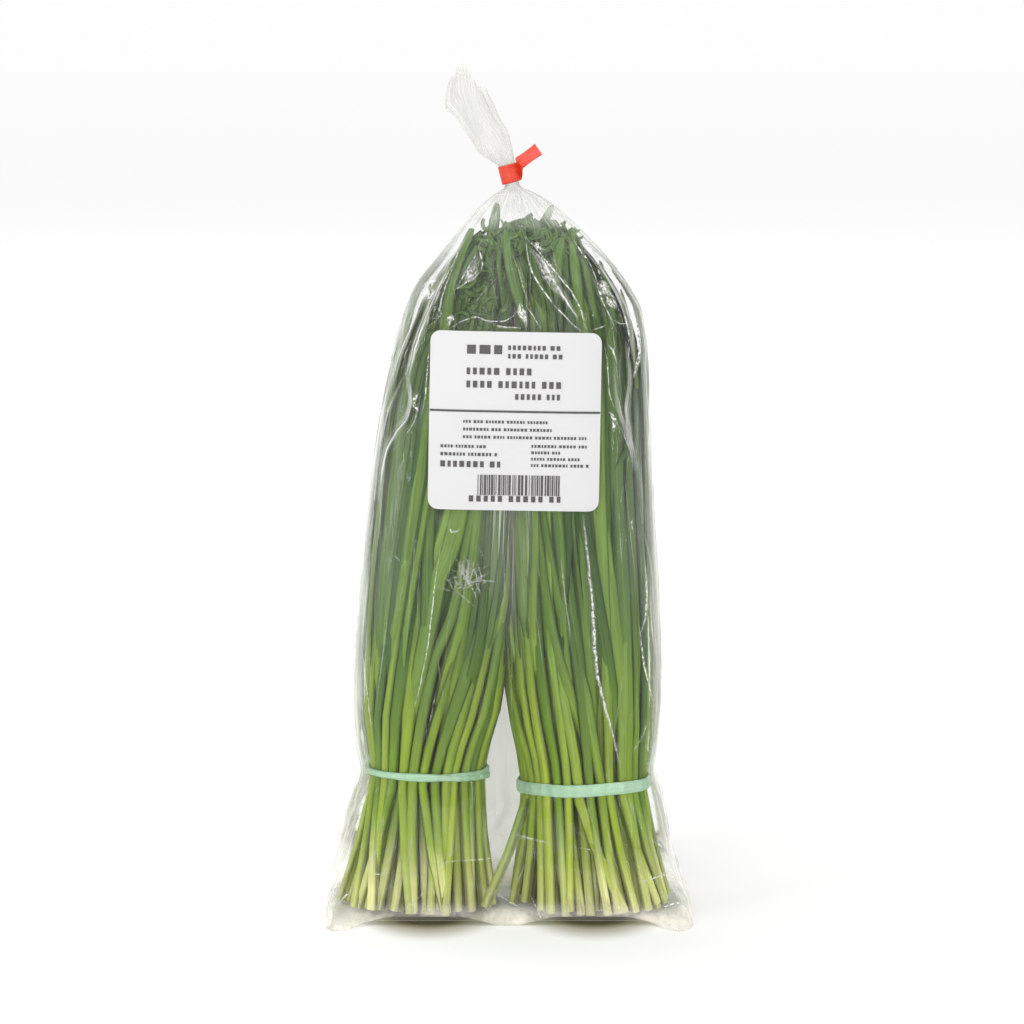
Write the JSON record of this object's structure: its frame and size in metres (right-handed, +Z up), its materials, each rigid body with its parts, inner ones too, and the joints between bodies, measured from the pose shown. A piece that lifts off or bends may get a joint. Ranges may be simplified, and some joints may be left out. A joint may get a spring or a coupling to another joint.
{
  "type": "bagged chive bunch",
  "caption": "Bunches of long flat green chives, banded near their cut ends and standing upright in a clear film bag with a taped neck and a plain front label.",
  "frame": {"origin": "middle of the base that the bag stands on, on the surface under it", "axes": "+Z up along the stalks, +X to the right as seen from the label's side, and the label faces -Y"},
  "size_m": [0.167, 0.084, 0.382],
  "materials": {
    "chives": "fresh, waxy green leaf and stem",
    "rubber": "satin pale green rubber",
    "film": "clear, creased thin film",
    "paper": "smooth white paper with dark print",
    "tape": "satin orange-red tape"
  },
  "bodies": {
    "root": {"chives_left": "chives", "chives_right": "chives", "rubber_band_left": "rubber", "rubber_band_right": "rubber", "film_bag": "film", "label": "paper", "closing_tape": "tape"}
  },
  "joints": []
}
